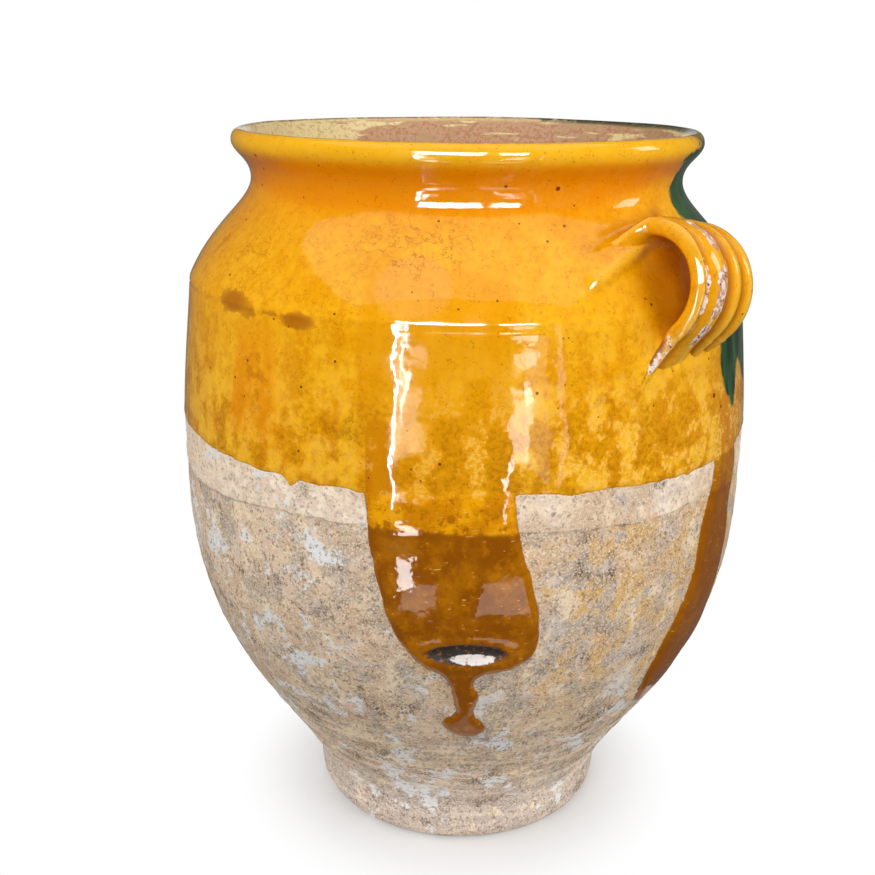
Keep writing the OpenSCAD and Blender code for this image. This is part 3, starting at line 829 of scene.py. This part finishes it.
def clay_colour(g, slipped, pits):
    """Coarse bare clay: ochre, grey and tan clouds, lime bloom, dark pits, grains and the potter's rings."""
    other = g.vector("ADD", "mm", (37, 91, 53))
    rock = g.noise("mm", 15, 6, 0.74)
    stone = g.noise(other, 14, 5, 0.7)
    low = g.ramp("height", 118, 45, 0.0, 1.0)
    calm = g.ramp(slipped, 0.0, 1.0, 1.0, 0.7)
    slip = g.layered(g.mix(g.ramp("mid", 0.44, 0.54), SLIP, SLIP_GREY),
                     (SLIP_TAN, g.ramp("patch", 0.42, 0.56), "ochre"))
    return g.layered(
        GREY,
        (CLAY, g.ramp(stone, 0.44, 0.53)),
        (ROSE, g.ramp(g.noise(other, 26, 5, 0.68), 0.49, 0.56), 0.8),
        (OCHRE, "ochre", g.ramp(stone, 0.47, 0.54)),
        (BROWN, g.ramp(g.apart(stone, 0.468), 0.014, 0.004), g.ramp("fine", 0.58, 0.42), 0.45),
        (ASH, g.ramp(rock, 0.55, 0.49), g.ramp(stone, 0.5, 0.45), 0.45),
        (TAN, g.ramp("cloud", 0.5, 0.56), 0.6),
        (BROWN, g.ramp("rings", 0.48, 0.62), low, 0.5),
        (GRAIN, g.ramp("rings", 0.48, 0.36), low, 0.75),
        (FOOT_GREY, g.ramp("height", 50, 22, 0.0, 0.6)),
        (slip, slipped, 0.9),
        (GRAIN, g.ramp(rock, 0.53, 0.64), 0.8),
        (BROWN, g.ramp(rock, 0.47, 0.36), calm, 0.7),
        (LIME, g.ramp(g.noise(other, 21, 5, 0.76), 0.54, 0.61), g.ramp("ochre", 0.2, 1.0, 0.95, 0.25)),
        (BROWN, g.ramp("fine", 0.47, 0.35), calm, 0.7),
        (GRAIN, g.ramp("grain", 0.54, 0.68), 0.6),
        (SOOT, g.ramp(rock, 0.42, 0.38), g.ramp("grain", 0.42, 0.34), calm, 0.8),
        (BROWN, pits, 0.6),
        (GRAIN, g.specks("mm", 4.4, 0.3, 1.0), g.ramp("height", 128, 96, 0.25, 1.0),
         g.ramp("height", 40, 62), 0.7),
        (PINK, g.specks("mm", 19, 0.4, 2.6), g.ramp("fine", 0.3, 0.5), 0.75))


def inner_colour(g):
    """Inside of the neck: thin cream glaze with mauve and brown patches, and painted shade darker down in the
    pot.
    """
    mauve = g.layered(g.mix(g.ramp("fine", 0.4, 0.6), MAUVE, MAUVE_PALE),
                      (CREAM_DARK, g.ramp("cloud", 0.5, 0.6), 0.7))
    return g.layered(
        CREAM,
        (mauve, g.ramp(g.wander("pink", "rings", 2.0), 0.45, 0.75), g.ramp("inner", 2.0, 5.0, 0.35, 0.95)),
        (CREAM_DARK, g.ramp("fine", 0.5, 0.62), 0.55),
        # Painted shade: darker deeper down in the pot
        (CREAM_DARK, g.ramp("inner", 40, 140, 0.0, 0.5)))


def glazed_earthenware():
    """The pot's one finish: clay and glaze, with the inside, crest, scar, chip, cracks and wear over them,
    painted shade in the creases and painted highlights along the handles' near edges.
    """
    material = bpy.data.materials.new("glazed_earthenware")
    g = Graph(material)
    metres = g.node("ShaderNodeTexCoord", {}).outputs["Object"]
    g.named["mm"] = g.stretch(metres, 1 / MM, 1 / MM, 1 / MM)
    g.named["height"] = g.node("ShaderNodeSeparateXYZ", {0: "mm"}).outputs[2]
    mottle(g)
    pinholes = g.either(g.specks("mm", 7, 0.2, 0.65), g.specks("mm", 18, 0.4, 1.1))
    pits = g.specks("mm", 7, 0.35, 0.9)
    glazed = g.ragged("glaze", "fine", 0.8, 0.45)
    coated = g.ragged("coat", "mid", 2.2, 1.6)
    slipped = g.ragged("slip", "mid", 1.6, 0.8)
    over_slip = g.ragged("slip", "mid", 3.0, 3.0)
    green = g.ragged("green", "mid", 2.6, 2.4)
    scar = g.ragged("scar", "fine", 1.4, 0.9)
    worn = g.ragged("worn", "mid", 2.4, 0.5)

    greens = g.layered(g.mix(g.ramp("flow", 0.42, 0.6), GREEN, GREEN_DARK),
                       (GREEN_GREY, g.ramp("patch", 0.52, 0.66), 0.5))
    glaze = g.layered(g.mix(coated, amber_colour(g, over_slip), glaze_colour(g, pinholes)),
                      (greens, green),
                      (COAT_RIM, g.ramp("glaze", 1.1, 0.1), 0.5))
    flake_and_glint = g.mix(g.ramp("mid", 0.46, 0.56), FLAKE_PINK, WHITE_FLAKE_AND_GLINT)
    colour = g.layered(
        clay_colour(g, slipped, pits),
        (SOOT, g.ramp(g.math("ABSOLUTE", "slip"), 0.7, 0.1), g.ramp("mid", 0.4, 0.6), 0.5),
        (glaze, glazed),
        (inner_colour(g), g.ragged("inner", "mid", 1.4, 1.2)),
        (g.mix(green, CREST_BROWN, GREEN_DARK),
         g.ramp(g.apart("inner", 0.3), 1.8, 0.6), g.ramp("mid", 0.36, 0.5), 0.85),
        (GREEN_DARK, green, g.ramp("inner", 4.6, 2.4), g.ramp("inner", -0.5, 0.8), 0.85),
        (g.mix(g.ramp("fine", 0.54, 0.7), BURNT, AMBER_DARK), scar),
        (g.mix(g.ramp("fine", 0.3, 0.45), GREY, BODY_WHITE), g.ragged("chip", "fine", 0.6, 0.4)),
        # Painted shade: dark lines in the creases
        (CRACK_AND_SHADE, g.ramp(g.math("ADD", "crease", g.product("fine", 0.4)), 0.45, 0.9), 0.85),
        # Wear, whose white is also a painted highlight along the near edges
        (g.mix(g.ramp("fine", 0.36, 0.44), CRACK_AND_SHADE, flake_and_glint), worn))

    inside = g.ramp("inner", -1.5, 1.5)
    dull = g.either(g.math("SUBTRACT", 1.0, glazed), g.product(scar, 0.6), g.product(worn, 0.8))
    dull = g.product(dull, g.math("SUBTRACT", 1.0, inside))
    gloss = g.blend(inside, g.ramp("cloud", 0.4, 0.7, *GLAZE_ROUGH), INSIDE_ROUGH)
    roughness = g.blend(dull, gloss, CLAY_ROUGH)

    bare = g.product(g.ramp("glaze", 0.2, -0.4), g.ramp("inner", 0.5, -0.5))
    peel = g.product(g.noise("mm", 6, 2), g.ramp("coat", -6, 4, 0.15, 0.09))
    grit = g.math("ADD", g.product(g.noise("mm", 2.4, 3, 0.65), 0.6), g.product(pits, -0.4))
    bump = g.node("ShaderNodeBump", {"Height": g.blend(bare, peel, grit), "Strength": 1.0, "Distance": MM})
    shader = g.node("ShaderNodeBsdfPrincipled", {"Base Color": colour, "Roughness": roughness, "IOR": 1.5,
                                                 "Specular IOR Level": 0.28, "Normal": bump.outputs[0]})
    g.node("ShaderNodeOutputMaterial", {"Surface": shader.outputs[0]})
    return material


# The photograph's camera, measured from the pot's axis along the pictured direction
CAMERA_SIDE, CAMERA_AWAY, CAMERA_UP = -11.7, 528.0, 348.2
CAMERA_DOWN, CAMERA_ROLL, CAMERA_LENS = 18.0, 0.498, 47.97
# Brightness of the room, and the shares of the way ahead past which its white shows in a mirror
ROOM, ROOM_BEHIND = 0.13, (-0.965, -0.99)
# Floor, in metres: radius, the distances over which it fades to white, and those behind the pot past
# which its white shows in a mirror
FLOOR_R, FLOOR_FADE, FLOOR_BEHIND = 0.14, (0.05, 0.115), (-0.1, -0.16)
FLOOR_SIDES, FLOOR_SHADE, WHITE = 64, (0.8, 0.8, 0.8, 1), (1, 1, 1, 1)
# Soft lamps that light the pot: name, place, width, height, radiance, and the place they all face
FILLS = (("front_fill", (-320, 1430, 850), 1200, 950, 4.5), ("left_fill", (-1500, 200, 600), 1400, 1100, 1.9),
         ("right_fill", (1400, 600, 600), 1400, 1100, 3.3), ("back_fill", (0, -1500, 700), 1400, 1100, 2.4))
FILL_AIM = (0, 0, 180)
# Lamp overhead and its sheen in the glaze: sideways and away, where it faces, width and height
SKY_AT, SKY_AIM, SKY_SIZE = (-100, 350), (-100, 330, 0), (3000, 1900)
# Bright parts of the window: name, sideways and up at its plane, width, height, radiance
WINDOW_AWAY = 400
WINDOW = (("frame_left", -164, 212, 8, 225, 90), ("frame_inner", -140, 250, 6, 130, 60),
          ("frame_between", -152, 235, 16, 170, 7), ("curtain_left", -121, 194, 34, 60, 6.5),
          ("frame_top", -58, 405, 206, 120, 60), ("frame_top_right", 124, 400, 96, 104, 42),
          ("frame_corner", -155, 264, 10, 66, 40),
          ("frame_far", 232, 215, 14, 260, 4), ("pane_upper", 136, 251, 54, 38, 13),
          ("pane_lower", 122, 180, 46, 64, 13), ("pane_glint", 143, 211, 20, 12, 26),
          ("pane_wide", 165, 190, 50, 120, 2.5), ("pane_edge", 92, 126, 6, 70, 30),
          ("sill_left", -140, 34, 44, 50, 26),
          ("below_left", -100, -18, 80, 80, 3.6), ("below_right", 112, -22, 150, 78, 3.6))


def facing(side, away, up):
    """A place given as the camera sees it: sideways, from the axis towards the camera, and up."""
    turn = math.radians(PICTURED)
    return Vector((side * math.cos(turn) + away * math.sin(turn),
                   side * math.sin(turn) - away * math.cos(turn), up)) * MM


def camera():
    """The photograph's camera."""
    lens = bpy.data.cameras.new("photo_camera")
    lens.lens = CAMERA_LENS
    lens.sensor_width = 36.0
    lens.clip_start = 0.01
    holder = placed("photo_camera", lens)
    place = Matrix.Translation(facing(CAMERA_SIDE, CAMERA_AWAY, CAMERA_UP))
    turn = Matrix.Rotation(math.radians(PICTURED), 4, "Z")
    tilt = Matrix.Rotation(math.radians(90 - CAMERA_DOWN), 4, "X")
    roll = Matrix.Rotation(math.radians(CAMERA_ROLL), 4, "Z")
    holder.matrix_world = place @ turn @ tilt @ roll
    bpy.context.scene.camera = holder


def panel(name, place, target, width, height, radiance, shows):
    """A flat lamp: one that shows in the glaze lights nothing, and the others only light what they face."""
    lamp = bpy.data.lights.new(name, "AREA")
    lamp.shape = "RECTANGLE"
    lamp.size, lamp.size_y = width * MM, height * MM
    lamp.energy = radiance * math.pi * lamp.size * lamp.size_y
    holder = placed(name, lamp)
    holder.location = facing(*place)
    holder.rotation_euler = (facing(*target) - facing(*place)).to_track_quat("-Z", "Y").to_euler()
    holder.visible_camera = False
    holder.visible_diffuse = not shows
    holder.visible_glossy = shows


def lamps():
    """Soft lamps all round, and the bright window whose frame and panes show in the glaze."""
    panel("sky", (*SKY_AT, 1950), SKY_AIM, *SKY_SIZE, 0.7, False)
    panel("sky_sheen", (*SKY_AT, 1900), SKY_AIM, *SKY_SIZE, 1.3, True)
    for name, place, width, height, radiance in FILLS:
        panel(name, place, FILL_AIM, width, height, radiance, False)
    panel("side_window", (621, 42, 506), (75, 90, 262), 150, 210, 8, True)
    for name, side, up, width, height, radiance in WINDOW:
        aim = (side / 5, 125, 200 + up / 8)
        panel(name, (side, WINDOW_AWAY, up), aim, width, height, radiance, True)


def white_rays(g, way, low, high):
    """Share of the rays that see plain white: the camera's, and mirrored ones that go behind the pot."""
    ahead = g.vector("DOT_PRODUCT", way, tuple(facing(0, 1, 0).normalized()), "Value")
    path = g.node("ShaderNodeLightPath", {}).outputs
    mirrored = g.either(path["Is Glossy Ray"], path["Is Transmission Ray"])
    return g.either(g.product(mirrored, g.ramp(ahead, low, high)), path["Is Camera Ray"])


def studio():
    """A plain dim room that is white behind the pot, also where the pot mirrors it."""
    world = bpy.data.worlds.new("studio")
    bpy.context.scene.world = world
    g = Graph(world)
    way = g.node("ShaderNodeTexCoord", {}).outputs["Generated"]
    strength = g.blend(white_rays(g, way, *ROOM_BEHIND), ROOM, 1.0)
    glow = g.node("ShaderNodeBackground", {"Color": WHITE, "Strength": strength})
    g.node("ShaderNodeOutputWorld", {"Surface": glow.outputs[0]})


def floor():
    """A pale round floor that takes the pot's shadow and fades to the white of the room."""
    turn = np.linspace(0, 2 * math.pi, FLOOR_SIDES + 1)[:-1]
    rim = np.stack([FLOOR_R * np.cos(turn), FLOOR_R * np.sin(turn), 0 * turn], 1)
    mesh = bpy.data.meshes.new("floor")
    mesh.from_pydata(rim.tolist(), [], [tuple(range(FLOOR_SIDES))])
    piece = placed("floor", mesh)
    material = bpy.data.materials.new("pale_floor")
    g = Graph(material)
    place = g.node("ShaderNodeTexCoord", {}).outputs["Object"]
    away = g.vector("LENGTH", place, output="Value")
    fade = g.product(white_rays(g, place, *FLOOR_BEHIND), g.ramp(away, *FLOOR_FADE))
    matt = g.node("ShaderNodeBsdfDiffuse", {"Color": FLOOR_SHADE})
    glow = g.node("ShaderNodeEmission", {"Color": WHITE, "Strength": 1.0})
    both = g.node("ShaderNodeMixShader", {0: fade, 1: matt.outputs[0], 2: glow.outputs[0]})
    g.node("ShaderNodeOutputMaterial", {"Surface": both.outputs[0]})
    mesh.materials.append(material)


bpy.context.scene.view_settings.view_transform = "Standard"
camera()
lamps()
studio()
floor()
finish = glazed_earthenware()
for piece in (pot_body(), handle("handle_right", False), handle("handle_left", True)):
    piece.data.materials.append(finish)
    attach(piece, "root")
    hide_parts("pot")
